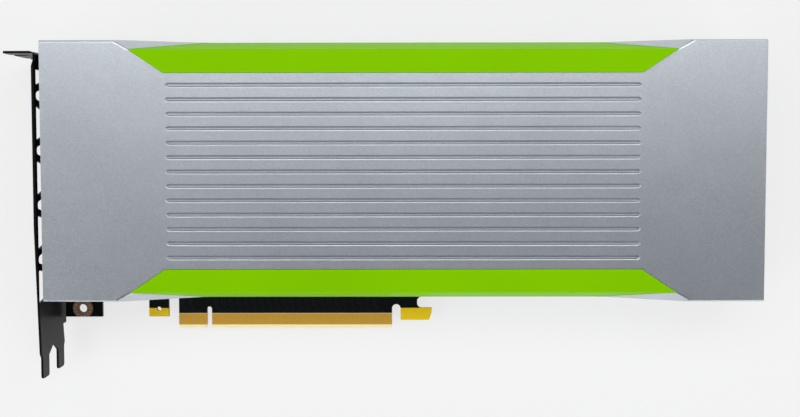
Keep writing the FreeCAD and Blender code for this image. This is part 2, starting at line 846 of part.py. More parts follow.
def back_plan(inset, z0, z1, corner):
    """Rounded outline of the backplate."""
    sheet = block(backplate_left + inset, backplate_right - inset,
                  board_edge_y + backplate_inset + inset,
                  board_top_y - backplate_inset - inset, z0, z1)
    return soften(sheet, corner, lambda edge: along(edge, V(0, 0, 1)))


def spring_opening(grow, z0, z1):
    """Rounded square round the retention spring."""
    side_length = 2 * (spring_reach + spring_window_margin + grow)
    hole = centred(processor_x, mid_y, side_length, side_length, z0, z1)
    return soften(hole, spring_window_corner + grow, lambda edge: along(edge, V(0, 0, 1)))


def make_backplate():
    """Shallow tray with bosses for its screws and a window for the spring."""
    low = backplate_low
    rim_top = board_back - rim_gap
    tray = back_plan(0, low, rim_top, backplate_corner)
    hollow = back_plan(backplate_rim, backplate_high, rim_top + past,
                       backplate_corner - backplate_rim)
    tray = tray.cut(hollow)
    room = back_plan(0, low, board_back, backplate_corner)
    bosses = [screw_bar(x, y, low, board_back, boss_r).common(room)
              for x, y in back_screw_places()]
    tray = joined([tray] + bosses)
    tray = tray.cut(spring_opening(0, low - past, board_back))
    hole = screw_head_r + (clear_hole_r - screw_r)
    for x, y in back_screw_places():
        tray = tray.cut(countersunk(V(x, y, low), V(0, 0, 1), board_back - low,
                                    clear_hole_r, hole))
    return tray


def make_film():
    """Insulation film on the inner face of the backplate, between its two rows of bosses."""
    gap = backplate_rim + rim_gap
    low = backplate_high
    high = low + film_t
    half = rail_middle - boss_r - rim_gap
    film = block(backplate_left + gap, backplate_right - gap, mid_y - half, mid_y + half, low, high)
    return film.cut(spring_opening(rim_gap, low, high))


def make_backplate_screws():
    """Flat-head screws through backplate and board into the rails."""
    length = back_screw_tip_z - backplate_low
    return Part.makeCompound([countersunk(V(x, y, backplate_low), V(0, 0, 1), length,
                                          screw_r, screw_head_r)
                              for x, y in back_screw_places()])


def make_spring():
    """Cross-shaped leaf spring, raised in the middle, that clamps the cooler."""
    screw_away = spring_reach * math.sqrt(2)
    end = screw_away + spring_end
    foot = screw_away - spring_end
    top = board_back
    raised = top - spring_rise
    profile = [(-end, top), (-foot, top), (-spring_flat_r, raised), (spring_flat_r, raised),
               (foot, top), (end, top), (end, top - spring_t), (foot, top - spring_t),
               (spring_flat_r, raised - spring_t), (-spring_flat_r, raised - spring_t),
               (-foot, top - spring_t), (-end, top - spring_t)]
    corners = [V(x, -spring_arm / 2, z) for x, z in profile]
    leaf = Part.Face(Part.makePolygon(corners + corners[:1])).extrude(V(0, spring_arm, 0))
    leaves = []
    for turn in (45, 135):
        turned = leaf.copy()
        turned.rotate(V(0, 0, 0), V(0, 0, 1), turn)
        leaves.append(turned)
    hub = screw_bar(0, 0, raised - spring_t, raised, spring_flat_r)
    spring = joined(leaves + [hub])
    spring.translate(V(processor_x, mid_y, 0))
    for x, y in spring_screw_places():
        spring = spring.cut(screw_bar(x, y, top - spring_t - past, top + past, clear_hole_r))
    return spring


def make_spring_screws():
    """Pan-head screws through the spring and the board into the chamber's posts."""
    under_head = board_back - spring_t
    screws = []
    for x, y in spring_screw_places():
        head = screw_bar(x, y, under_head - pan_head_t, under_head, pan_head_r)
        shank = screw_bar(x, y, under_head, spring_screw_tip_z, screw_r)
        screws.append(head.fuse(shank))
    return Part.makeCompound(screws)


# ---------------------------------------------------------------- export

def all_nodes():
    """Every piece of the card by name."""
    upper_trim = make_upper_trim()
    nodes = {
        "shroud": make_shroud(),
        "upper_trim": upper_trim,
        "lower_trim": mirror_up(upper_trim),
        "shroud_screws": make_shroud_screws(),
        "slot_bracket": make_bracket(),
        "bracket_screws": make_bracket_screws(),
        "circuit_board": make_board(),
        "edge_contacts_front": make_contacts(0, contact_t),
        "edge_contacts_back": make_contacts(board_back - contact_t, board_back),
        "hook_plating": on_both_faces(hook_layer),
        "tab_plating": on_both_faces(tab_layer),
        "ground_pad": on_both_faces(pad_layer),
        "processor_substrate": centred(processor_x, mid_y, substrate_side, substrate_side,
                                       0, substrate_t),
        "processor_die": centred(processor_x, mid_y, die_side, die_side,
                                 substrate_t, die_top),
        "thermal_paste": centred(processor_x, mid_y, die_side, die_side,
                                 die_top, chamber_low),
        "memory_chips": memory_grid(0, memory_t),
        "memory_pads": memory_grid(memory_t, chamber_low),
        "vapor_chamber": make_chamber(),
        "fin_stack": make_fins(),
        "base_frame": make_frame(),
        "power_stages": Part.makeCompound(
            [centred(stage_x, y, stage_length, stage_width, 0, stage_t)
             for y in phase_places()]),
        "power_stage_pads": Part.makeCompound(
            [centred(stage_x, y, stage_length, stage_width, stage_t, chamber_low)
             for y in phase_places()]),
        "inductors": make_inductors(),
        "capacitors": make_capacitors(),
        "power_connector": make_connector(),
        "power_pins": make_connector_pins(),
        "backplate": make_backplate(),
        "insulation_film": make_film(),
        "backplate_screws": make_backplate_screws(),
        "retention_spring": make_spring(),
        "spring_screws": make_spring_screws(),
    }
    return nodes


os.makedirs("parts", exist_ok=True)
for name, shape in all_nodes().items():
    shape.exportStep("parts/" + name + ".step")
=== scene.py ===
import math

import bmesh
import bpy
from bpy.props import FloatProperty, FloatVectorProperty, PointerProperty
from mathutils import Euler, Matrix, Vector


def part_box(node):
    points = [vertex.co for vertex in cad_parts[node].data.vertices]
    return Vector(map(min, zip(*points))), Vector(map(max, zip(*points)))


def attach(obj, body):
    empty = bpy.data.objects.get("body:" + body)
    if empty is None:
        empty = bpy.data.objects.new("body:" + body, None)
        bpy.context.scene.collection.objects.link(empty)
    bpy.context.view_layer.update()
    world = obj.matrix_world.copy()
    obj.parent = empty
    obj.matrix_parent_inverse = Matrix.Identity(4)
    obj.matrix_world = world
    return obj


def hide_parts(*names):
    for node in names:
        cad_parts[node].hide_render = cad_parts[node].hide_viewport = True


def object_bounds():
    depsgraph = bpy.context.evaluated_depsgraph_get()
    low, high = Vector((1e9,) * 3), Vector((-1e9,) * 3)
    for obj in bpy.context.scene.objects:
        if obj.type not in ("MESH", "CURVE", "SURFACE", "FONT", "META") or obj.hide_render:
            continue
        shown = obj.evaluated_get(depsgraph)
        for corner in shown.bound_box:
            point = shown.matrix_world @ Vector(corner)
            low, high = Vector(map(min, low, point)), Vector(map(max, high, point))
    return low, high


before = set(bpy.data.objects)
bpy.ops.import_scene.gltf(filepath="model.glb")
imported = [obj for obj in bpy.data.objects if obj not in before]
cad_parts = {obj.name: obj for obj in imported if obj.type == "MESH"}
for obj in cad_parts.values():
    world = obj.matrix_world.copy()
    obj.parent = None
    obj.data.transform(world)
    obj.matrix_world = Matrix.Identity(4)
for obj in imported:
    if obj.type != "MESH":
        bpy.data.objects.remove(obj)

bl_info = {
    "name": "Passive accelerator card",
    "version": (1, 0, 0),
    "blender": (4, 5, 0),
    "location": "View3D > Sidebar > Card",
    "description": "Dresses a passive accelerator card, from shroud to screws, and its stage",
    "category": "Object",
}

BODY = "root"
MM = 0.001
cad_low, cad_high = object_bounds()

SHARP = math.radians(22)        # edges turned by more than this are rounded
FLAT = math.radians(0.5)        # faces turned by less than this become one
JOINED = 1e-6                   # vertices closer than this become one

GROOVE_BAND = 1.0 * MM          # the grooves lie this close to the shroud's front
GROOVE_MARGIN = 12.5 * MM       # and this far from its two long sides
WALL_LEAN = 0.3                 # a wall's normal has at least this much of Y
# Painted shade: faces with this attribute, the grooves' walls that face the fingers, get darker
# silver.
SHADED_WALL_MARK = "groove_wall"       # face attribute of the walls that look to the fingers


# ---------------------------------------------------------------- sizes and colours

class ShroudSettings(bpy.types.PropertyGroup):
    """Finish of the folded shroud and its two trims."""

    silver: FloatVectorProperty(
        name="Silver", description="Colour of the satin metal", subtype="COLOR",
        default=(0.545, 0.573, 0.612), min=0, max=1)
    silver_roughness: FloatProperty(
        name="Silver roughness", description="How broad the sheen is", subtype="FACTOR",
        default=0.37, min=0, max=1)
    grain: FloatProperty(
        name="Grain", description="Size of the blasted grain", subtype="DISTANCE",
        unit="LENGTH", default=0.5 * MM, min=0.01 * MM, precision=5)
    fold: FloatProperty(
        name="Fold", description="Rounding of the outer folds", subtype="DISTANCE",
        unit="LENGTH", default=0.45 * MM, min=0, precision=5)
    lip: FloatProperty(
        name="Lip", description="Rounding of the grooves' edges", subtype="DISTANCE",
        unit="LENGTH", default=0.2 * MM, min=0, precision=5)
    # Painted shade: how far the silver on the grooves' walls that face the fingers is darkened.
    wall_painted_shade: FloatProperty(
        name="Groove tone", description="How much darker the grooves' lower-facing walls are",
        subtype="FACTOR", default=0.62, min=0, max=1)
    rim: FloatProperty(
        name="Rim", description="Breaking of cut edges", subtype="DISTANCE",
        unit="LENGTH", default=0.06 * MM, min=0, precision=5)
    green: FloatVectorProperty(
        name="Green", description="Paint of the two trims", subtype="COLOR",
        default=(0.205, 0.515, 0.001), min=0, max=1)
    trim_edge: FloatProperty(
        name="Trim edge", description="Rounding of the trims' edges", subtype="DISTANCE",
        unit="LENGTH", default=0.50 * MM, min=0, precision=5)


class BoardSettings(bpy.types.PropertyGroup):
    """Finish of the circuit board and what lies on it."""

    mask: FloatVectorProperty(
        name="Solder mask", description="Colour of the board's faces", subtype="COLOR",
        default=(0.0035, 0.0042, 0.0042), min=0, max=1)
    laminate: FloatVectorProperty(
        name="Laminate", description="Bare bevel below the fingers",
        subtype="COLOR", default=(1.0, 0.87, 0.50), min=0, max=1)
    gap: FloatVectorProperty(
        name="Gap", description="Bare board between the fingers",
        subtype="COLOR", default=(0.62, 0.36, 0.08), min=0, max=1)
    border: FloatVectorProperty(
        name="Border", description="Strip between the fingers and the solder mask",
        subtype="COLOR", default=(0.85, 0.55, 0.30), min=0, max=1)
    gold: FloatVectorProperty(
        name="Gold", description="Plating of the edge fingers", subtype="COLOR",
        default=(0.74, 0.40, 0.042), min=0, max=1)
    bright_gold: FloatVectorProperty(
        name="Bright gold", description="Plating of the hook and the small tab",
        subtype="COLOR", default=(1.0, 0.66, 0.012), min=0, max=1)
    trace_width: FloatProperty(
        name="Trace width", description="Width of a trace", subtype="DISTANCE",
        unit="LENGTH", default=0.16 * MM, min=0.01 * MM, precision=5)
    trace_height: FloatProperty(
        name="Trace height", description="Rise of a trace under the mask",
        subtype="DISTANCE", unit="LENGTH", default=0.025 * MM, min=0.001 * MM, precision=6)
    via_radius: FloatProperty(
        name="Via radius", description="Radius of a via's pad", subtype="DISTANCE",
        unit="LENGTH", default=0.28 * MM, min=0.01 * MM, precision=5)
    pitch: FloatProperty(
        name="Contact pitch", description="Distance between two edge fingers",
        subtype="DISTANCE", unit="LENGTH", default=1.0 * MM, min=0.1 * MM, precision=5)


class StageSettings(bpy.types.PropertyGroup):
    """Floor, lamps and camera."""

    floor: FloatVectorProperty(
        name="Floor", description="Colour of the floor and the background",
        subtype="COLOR", default=(0.90, 0.90, 0.90), min=0, max=1)
    zenith: FloatVectorProperty(
        name="Ceiling", description="Dim light from straight above", subtype="COLOR",
        default=(0.030, 0.042, 0.060), min=0, max=1)
    horizon: FloatVectorProperty(
        name="Walls", description="Light from all round at eye level", subtype="COLOR",
        default=(1.4, 1.4, 1.4), min=0, max=4)
    softbox_width: FloatProperty(
        name="Softbox width", description="Size of the main softbox along the card",
        subtype="DISTANCE", unit="LENGTH", default=1.5, min=0.01)
    softbox_depth: FloatProperty(
        name="Softbox depth", description="Size of the main softbox across the card",
        subtype="DISTANCE", unit="LENGTH", default=0.5, min=0.01)
    softbox_power: FloatProperty(
        name="Softbox power", description="Power of the main softbox", subtype="POWER",
        unit="POWER", default=9.4, min=0)
    overhead_power: FloatProperty(
        name="Overhead power", description="Power of the dim softbox overhead",
        subtype="POWER", unit="POWER", default=0.35, min=0)
    rim_power: FloatProperty(
        name="Rim power", description="Power of each slim softbox at the floor",
        subtype="POWER", unit="POWER", default=1.6, min=0)
    fill_power: FloatProperty(
        name="Fill power", description="Power of the left softbox; the right one has less",
        subtype="POWER", unit="POWER", default=9.5, min=0)
    floor_glow: FloatProperty(
        name="Floor evenness", description="How much of its plain colour the camera sees",
        subtype="FACTOR", default=0.8, min=0, max=1)
    floor_gloss: FloatProperty(
        name="Floor in gloss", description="How much of its plain colour gloss and glass see",
        subtype="FACTOR", default=0.45, min=0, max=1)
    softbox_place: FloatVectorProperty(
        name="Softbox place", description="Middle of the main softbox", subtype="XYZ",
        unit="LENGTH", default=(0.12, 0.56, 1.0))
    camera_place: FloatVectorProperty(
        name="Camera place", description="Where the camera stands", subtype="XYZ",
        unit="LENGTH", default=(0.07743, 0.07515, 0.48211), precision=5)
    camera_turn: FloatVectorProperty(
        name="Camera turn", description="Turn from straight down", subtype="EULER",
        unit="ROTATION", default=(-0.0573, 0.0033, -0.0011), precision=5)
    lens: FloatProperty(
        name="Lens", description="Focal length of the camera, in millimetres",
        default=54.89, min=1)


# ---------------------------------------------------------------- shader maths

class Channel:
    """Output of a node that takes part in Python expressions."""

    def __init__(self, tree, socket):
        self.tree = tree
        self.socket = socket

    def math(self, operation, first, second=0.0):
        return self.tree.add("ShaderNodeMath", {"operation": operation}, {0: first, 1: second})

    def __add__(self, other):
        return self.math("ADD", self, other)

    def __radd__(self, other):
        return self.math("ADD", other, self)

    def __sub__(self, other):
        return self.math("SUBTRACT", self, other)

    def __rsub__(self, other):
        return self.math("SUBTRACT", other, self)

    def __mul__(self, other):
        return self.math("MULTIPLY", self, other)

    def __rmul__(self, other):
        return self.math("MULTIPLY", other, self)

    def __gt__(self, other):
        return self.math("GREATER_THAN", self, other)

    def __lt__(self, other):
        return self.math("LESS_THAN", self, other)

    def power(self, other):
        return self.math("POWER", self, other)

    def cosine(self):
        return self.math("COSINE", self)

    def angle_to(self, other):
        return self.math("ARCTAN2", self, other)

    def length_with(self, other):
        """Length of the line whose two parts are this value and another."""
        return (self.power(2.0) + other.power(2.0)).power(0.5)


class NodeTree:
    """Adds nodes to a node tree, one call for each."""

    def __init__(self, tree):
        self.tree = tree
        self.tree.nodes.clear()

    def add(self, kind, settings=None, inputs=None, output=0):
        """New node. Its settings are set first, then its sockets get values or links."""
        node = self.tree.nodes.new(kind)
        for name, value in (settings or {}).items():
            if name == "stops":
                self.set_stops(node.color_ramp, value)
            else:
                setattr(node, name, value)
        for key, value in (inputs or {}).items():
            socket = node.inputs[key]
            if isinstance(value, Channel):
                self.tree.links.new(value.socket, socket)
            else:
                socket.default_value = value
        return Channel(self, node.outputs[output]) if node.outputs else node

    @staticmethod
    def set_stops(ramp, stops):
        """Positions and grey levels of a colour ramp."""
        while len(ramp.elements) < len(stops):
            ramp.elements.new(1.0)
        for element, (place, level) in zip(ramp.elements, stops):
            element.position = place
            element.color = (level, level, level, 1.0)

    def mix(self, factor, first, second):
        """Colour between two colours."""
        return self.add("ShaderNodeMix", {"data_type": "RGBA"},
                        {0: factor, 6: first, 7: second}, output=2)

    def place(self):
        """Point of the surface in the object's own coordinates."""
        return self.add("ShaderNodeTexCoord", output="Object")

    def rays(self, *names):
        """Masks of the kinds of ray that meet a surface."""
        path = self.add("ShaderNodeLightPath").socket.node
        return [Channel(self, path.outputs[name]) for name in names]

    def ramp(self, factor, stops):
        """Grey level along a ramp of places and levels."""
        return self.add("ShaderNodeValToRGB", {"stops": stops}, {0: factor})

    def split(self, vector):
        """The three parts of a vector."""
        parts = self.add("ShaderNodeSeparateXYZ", inputs={0: vector})
        outputs = parts.socket.node.outputs
        return [Channel(self, outputs[name]) for name in "XYZ"]

    def noise(self, size, detail=2.0, stretch=(1.0, 1.0, 1.0)):
        """Noise whose grain has a size in metres, from 0 to 1."""
        scaled = self.add("ShaderNodeMapping", inputs={"Vector": self.place(), "Scale": stretch})
        return self.add("ShaderNodeTexNoise",
                        inputs={"Vector": scaled, "Scale": 1.0 / size, "Detail": detail})

    def tint(self, pattern, colour, darkest, lightest):
        """Colour that a pattern shades between two factors."""
        return self.mix(pattern, shade(colour, darkest), shade(colour, lightest))

    def bump(self, height, strength, distance):
        """Normal that follows a height."""
        return self.add("ShaderNodeBump",
                        inputs={"Strength": strength, "Distance": distance, "Height": height})

    def surface(self, **inputs):
        """Principled surface, joined to the material's output."""
        names = {name.replace("_", " ").title().replace("Ior", "IOR"): value
                 for name, value in inputs.items()}
        shader = self.add("ShaderNodeBsdfPrincipled", inputs=names)
        self.add("ShaderNodeOutputMaterial", inputs={"Surface": shader})
        return shader


def opaque(colour):
    """Colour with full alpha."""
    return (*colour, 1.0)


def new_finish(name):
    """Empty material and the tree that its nodes go into."""
    material = bpy.data.materials.new(name)
    material.use_nodes = True
    return material, NodeTree(material.node_tree)


def grey(level):
    """Grey of one level."""
    return (level, level, level)


def shade(colour, factor):
    """Lighter or darker version of a colour."""
    return opaque([min(1.0, part * factor) for part in colour])


def vary(middle, pattern, spread):
    """Value that a pattern moves to both sides of its middle."""
    return middle + (pattern - 0.5) * spread


# ---------------------------------------------------------------- finishes

def satin_silver(settings):
    """Fine-blasted silver metal with a broad sheen, and painted shade on the grooves' walls that
    face the fingers.
    """
    material, tree = new_finish("satin_silver")
    grain_share = 0.75
    grain = tree.noise(settings.grain, detail=3.0)
    cloud = tree.noise(22 * MM)
    tone = grain * grain_share + cloud * (1.0 - grain_share)
    face = tree.tint(tone, settings.silver, darkest=0.72, lightest=1.26)
    # Painted shade: the grooves' walls that face the fingers are darkened towards a quarter of
    # the silver.
    painted_wall_shade_colour = shade(settings.silver, 0.25)
    wall = tree.add("ShaderNodeAttribute", {"attribute_name": SHADED_WALL_MARK}, output="Fac")
    colour = tree.mix(wall * settings.wall_painted_shade, face, painted_wall_shade_colour)
    tree.surface(base_color=colour, metallic=1.0,
                 roughness=vary(settings.silver_roughness, grain, spread=0.12),
                 normal=tree.bump(grain, strength=0.35, distance=0.03 * MM))
    return material


def trim_paint(settings):
    """Bright green satin paint."""
    material, tree = new_finish("trim_paint")
    peel = tree.noise(1.1 * MM)
    cloud = tree.noise(40 * MM, detail=1.0)
    sheen = shade(settings.green, 1.8)
    tree.surface(base_color=tree.tint(cloud, settings.green, darkest=0.96, lightest=1.05),
                 roughness=vary(0.40, peel, spread=0.08),
                 specular_ior_level=0.03, specular_tint=sheen,
                 normal=tree.bump(peel, strength=0.12, distance=0.02 * MM))
    return material


def powder_black():
    """Black powder coat with a fine orange peel."""
    material, tree = new_finish("powder_black")
    peel = tree.noise(0.45 * MM, detail=3.0)
    tree.surface(base_color=tree.mix(peel, opaque(grey(0.003)), opaque(grey(0.007))),
                 roughness=vary(0.36, peel, spread=0.2), specular_ior_level=0.06,
                 normal=tree.bump(peel, strength=0.4, distance=0.03 * MM))
    return material


def solder_mask(settings, finger_box, mask_y):
    """Black solder mask, with bare laminate round and below the fingers."""
    low, high = finger_box
    material, tree = new_finish("solder_mask")
    x, y, _ = tree.split(tree.place())
    between = (x > low.x) * (x < high.x)
    weave = tree.noise(0.5 * MM)
    mask = tree.tint(weave, settings.mask, darkest=0.8, lightest=1.3)
    above = tree.mix(y < high.y, opaque(settings.border), opaque(settings.gap))
    laminate = tree.mix(y < low.y, above, opaque(settings.laminate))
    bare = between * (y < mask_y)
    colour = tree.mix(bare, mask, laminate)
    rougher = 0.25
    tree.surface(base_color=colour, roughness=vary(0.34 + bare * rougher, weave, spread=0.06),
                 specular_ior_level=0.15,
                 normal=tree.bump(weave, strength=0.15, distance=0.01 * MM))
    return material


def masked_copper(settings):
    """Copper under black solder mask, a little lighter than bare board."""
    material, tree = new_finish("masked_copper")
    weave = tree.noise(0.4 * MM)
    tree.surface(base_color=tree.tint(weave, settings.mask, darkest=4.0, lightest=5.2),
                 roughness=vary(0.33, weave, spread=0.05), specular_ior_level=0.15)
    return material


def plated(name, colour, roughness, metal):
    """Plated metal with a faint mottle."""
    material, tree = new_finish(name)
    mottle = tree.noise(0.8 * MM, detail=3.0)
    tree.surface(base_color=tree.tint(mottle, colour, darkest=0.90, lightest=1.08),
                 metallic=metal, roughness=vary(roughness, mottle, spread=0.12),
                 specular_ior_level=0.2,
                 normal=tree.bump(mottle, strength=0.10, distance=0.01 * MM))
    return material


def ground_ring(pad_box):
    """Coated copper ring with a circle of small vias."""
    low, high = pad_box
    centre_x = (low.x + high.x) / 2
    centre_y = high.y - (high.x - low.x) / 2
    via_circle = 3.05 * MM
    via_size = 0.30 * MM
    via_count = 14
    material, tree = new_finish("ground_ring")
    x, y, _ = tree.split(tree.place())
    across = x - centre_x
    up = y - centre_y
    radius = across.length_with(up)
    turn = up.angle_to(across)
    half_step = via_circle * math.pi / via_count / 2
    spot = (1.0 - (turn * via_count).cosine()) * half_step
    via = spot.length_with(radius - via_circle) < via_size
    mottle = tree.noise(0.6 * MM)
    copper = tree.mix(mottle, opaque((0.28, 0.150, 0.086)), opaque((0.42, 0.230, 0.136)))
    filled = opaque((0.60, 0.42, 0.32))
    tree.surface(base_color=tree.mix(via, copper, filled), metallic=0.30,
                 roughness=vary(0.42, mottle, spread=0.1))
    return material


def bare_aluminium():
    """Rolled sheet with a faint grain along the fins."""
    material, tree = new_finish("bare_aluminium")
    streak = tree.noise(0.35 * MM, stretch=(0.05, 1.0, 1.0))
    colour = tree.mix(streak, opaque((0.66, 0.66, 0.67)), opaque((0.80, 0.80, 0.81)))
    tree.surface(base_color=colour, metallic=1.0, roughness=vary(0.36, streak, spread=0.15))
    return material


def nickelled_copper():
    """Vapor chamber: warm metal with a soft mottle."""
    material, tree = new_finish("nickelled_copper")
    mottle = tree.noise(3.5 * MM, detail=4.0)
    colour = tree.mix(mottle, opaque((0.60, 0.34, 0.24)), opaque((0.74, 0.48, 0.36)))
    tree.surface(base_color=colour, metallic=1.0, roughness=vary(0.35, mottle, spread=0.15))
    return material


def cast_black(name, level, roughness, grain):
    """Matt black metal with a cast or anodised grain."""
    material, tree = new_finish(name)
    pit = tree.noise(grain, detail=4.0)
    tree.surface(base_color=tree.tint(pit, grey(level), darkest=0.75, lightest=1.35),
                 metallic=0.35, roughness=vary(roughness, pit, spread=0.14),
                 normal=tree.bump(pit, strength=0.30, distance=0.02 * MM))
    return material


def moulded(name, colour, roughness):
    """Moulded plastic, ceramic or pressed powder with a fine grain."""
    material, tree = new_finish(name)
    grit = tree.noise(0.4 * MM, detail=3.0)
    tree.surface(base_color=tree.tint(grit, colour, darkest=0.86, lightest=1.16),
                 roughness=vary(roughness, grit, spread=0.12),
                 normal=tree.bump(grit, strength=0.2, distance=0.015 * MM))
    return material


def smooth_metal(name, colour, roughness):
    """Smooth metal or silicon with a faint mottle: screws, spring, cans and die."""
    material, tree = new_finish(name)
    mottle = tree.noise(0.7 * MM, detail=3.0)
    tree.surface(base_color=tree.tint(mottle, colour, darkest=0.85, lightest=1.15),
                 metallic=0.95, roughness=vary(roughness, mottle, spread=0.12))
    return material


# ---------------------------------------------------------------- meshes

def keep(piece, slot, *nodes):
    """Makes a finished piece ride on the card, in the place of CAD nodes if any."""
    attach(piece, BODY)
    if nodes:
        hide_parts(*nodes)
    return piece


def new_piece(name, mesh, material):
    """Object at the origin with its place in its mesh."""
    mesh.materials.clear()
    mesh.materials.append(material)
    piece = bpy.data.objects.new(name, mesh)
    bpy.context.scene.collection.objects.link(piece)
    return piece


def merged_copy(node, name, material):
    """Copy of a CAD node with its triangles joined and its flat faces made whole."""
    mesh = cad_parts[node].data.copy()
    mesh.name = name
    work = bmesh.new()
    work.from_mesh(mesh)
    bmesh.ops.remove_doubles(work, verts=work.verts, dist=JOINED)
    bmesh.ops.dissolve_limit(work, angle_limit=FLAT, verts=work.verts, edges=work.edges,
                             use_dissolve_boundaries=False)
    work.to_mesh(mesh)
    work.free()
    mesh.shade_smooth()
    return new_piece(name, mesh, material)


def inside(point, box, spare=0.6 * MM):
    """Whether a point lies in a box that is a little larger all round."""
    low, high = box
    return all(low[i] - spare < point[i] < high[i] + spare for i in range(3))


def weigh_edges(piece, width_of):
    """Stores each sharp edge's own width and returns the widest."""
    work = bmesh.new()
    work.from_mesh(piece.data)
    layer = work.edges.layers.float.new("bevel_weight_edge")
    sharp = [edge for edge in work.edges
             if len(edge.link_faces) == 2 and edge.calc_face_angle() > SHARP]
    widths = [width_of(edge) for edge in sharp]
    widest = max(widths)
    for edge, width in zip(sharp, widths):
        edge[layer] = width / widest
    work.to_mesh(piece.data)
    work.free()
    return widest


def round_edges(piece, width, segments=2, weighted=False):
    """Small rounding on every sharp edge, or on each by its own width."""
    bevel = piece.modifiers.new("edge", "BEVEL")
    bevel.width = width
    bevel.segments = segments
    bevel.limit_method = "WEIGHT" if weighted else "ANGLE"
    bevel.angle_limit = SHARP
    bevel.use_clamp_overlap = not weighted
    flat = piece.modifiers.new("flat", "WEIGHTED_NORMAL")
    flat.mode = "FACE_AREA"
    flat.weight = 100
    return piece


def dressed(node, name, slot, material, edge):
    """Merged copy of a CAD node with rounded edges, in the node's place."""
    piece = round_edges(merged_copy(node, name, material), edge)
    return keep(piece, slot, node)


def coat(material, *nodes):
    """Gives CAD nodes a material of their own."""
    for node in nodes:
        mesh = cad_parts[node].data
        mesh.materials.clear()
        mesh.materials.append(material)


def ring_mesh(name, loops, sides):
    """Closed mesh through loops of equal count. A loop is a height and a radius by angle."""
    work = bmesh.new()
    rings = []
    for height, radius in loops:
        ring = []
        for number in range(sides):
            turn = 2 * math.pi * number / sides
            reach = radius(turn)
            ring.append(work.verts.new((reach * math.cos(turn), reach * math.sin(turn), height)))
        rings.append(ring)
    for lower, upper in zip(rings, rings[1:]):
        for number in range(sides):
            after = (number + 1) % sides
            work.faces.new((lower[number], lower[after], upper[after], upper[number]))
    work.faces.new(list(reversed(rings[0])))
    work.faces.new(rings[-1])
    bmesh.ops.recalc_face_normals(work, faces=work.faces)
    mesh = bpy.data.meshes.new(name)
    work.to_mesh(mesh)
    work.free()
    return mesh


def box_mesh(name, boxes):
    """Mesh of separate boxes, each a lowest and a highest corner."""
    work = bmesh.new()
    for low, high in boxes:
        made = bmesh.ops.create_cube(work, size=1.0)["verts"]
        for vertex in made:
            vertex.co = Vector(low[i] + (vertex.co[i] + 0.5) * (high[i] - low[i])
                               for i in range(3))
    mesh = bpy.data.meshes.new(name)
    work.to_mesh(mesh)
    work.free()
    return mesh


# ---------------------------------------------------------------- repeats

def grid_tree():
    """Geometry nodes: the object's own mesh, set out on a grid and thinned at random."""
    name = "repeat_on_grid"
    if name in bpy.data.node_groups:
        return bpy.data.node_groups[name]
    group = bpy.data.node_groups.new(name, "GeometryNodeTree")
    tree = NodeTree(group)
    face = group.interface
    face.new_socket("Geometry", in_out="INPUT", socket_type="NodeSocketGeometry")
    for label, kind in (("Columns", "NodeSocketInt"), ("Rows", "NodeSocketInt"),
                        ("Span X", "NodeSocketFloat"), ("Span Y", "NodeSocketFloat"),
                        ("Centre", "NodeSocketVector"), ("Turn", "NodeSocketRotation"),
                        ("Kept", "NodeSocketFloat"), ("Seed", "NodeSocketInt"),
                        ("Material", "NodeSocketMaterial")):
        face.new_socket(label, in_out="INPUT", socket_type=kind)
    face.new_socket("Geometry", in_out="OUTPUT", socket_type="NodeSocketGeometry")
    first = tree.add("NodeGroupInput").socket.node
    given = {socket.name: Channel(tree, socket) for socket in first.outputs if socket.name}
    grid = tree.add("GeometryNodeMeshGrid",
                    inputs={"Size X": given["Span X"], "Size Y": given["Span Y"],
                            "Vertices X": given["Columns"], "Vertices Y": given["Rows"]})
    points = tree.add("GeometryNodeMeshToPoints", inputs={"Mesh": grid})
    chance = tree.add("FunctionNodeRandomValue", {"data_type": "BOOLEAN"},
                      {"Probability": given["Kept"], "Seed": given["Seed"]}, output=3)
    placed = tree.add("GeometryNodeInstanceOnPoints",
                      inputs={"Points": points, "Selection": chance,
                              "Instance": given["Geometry"]})
    turned = tree.add("GeometryNodeTransform",
                      inputs={"Geometry": placed, "Translation": given["Centre"],
                              "Rotation": given["Turn"]})
    real = tree.add("GeometryNodeRealizeInstances", inputs={"Geometry": turned})
    finished = tree.add("GeometryNodeSetMaterial",
                        inputs={"Geometry": real, "Material": given["Material"]})
    tree.add("NodeGroupOutput", inputs={"Geometry": finished})
    return group


def repeated(name, mesh, material, columns, rows, span_x, span_y, centre,
             turn=(0.0, 0.0, 0.0), kept=1.0, seed=0):
    """Plain mesh object of a unit repeated on a grid."""
    group = grid_tree()
    holder = new_piece(name + "_unit", mesh, material)
    modifier = holder.modifiers.new("repeat", "NODES")
    modifier.node_group = group
    values = {"Columns": columns, "Rows": rows, "Span X": span_x, "Span Y": span_y,
              "Centre": tuple(centre), "Turn": Euler(turn), "Kept": kept, "Seed": seed,
              "Material": material}
    for item in group.interface.items_tree:
        if item.in_out == "INPUT" and item.name in values:
            modifier[item.identifier] = values[item.name]
    graph = bpy.context.evaluated_depsgraph_get()
    made = bpy.data.meshes.new_from_object(holder.evaluated_get(graph))
    made.name = name
    holder.modifiers.remove(modifier)
    bpy.data.objects.remove(holder)
    return new_piece(name, made, material)


def joined(name, pieces):
    """One piece from several with the same material."""
    work = bmesh.new()
    for piece in pieces:
        work.from_mesh(piece.data)
    mesh = pieces[0].data.copy()
    work.to_mesh(mesh)
    work.free()
    material = pieces[0].data.materials[0]
    for piece in pieces:
        bpy.data.objects.remove(piece)
    mesh.name = name
    return new_piece(name, mesh, material)


# ---------------------------------------------------------------- screws

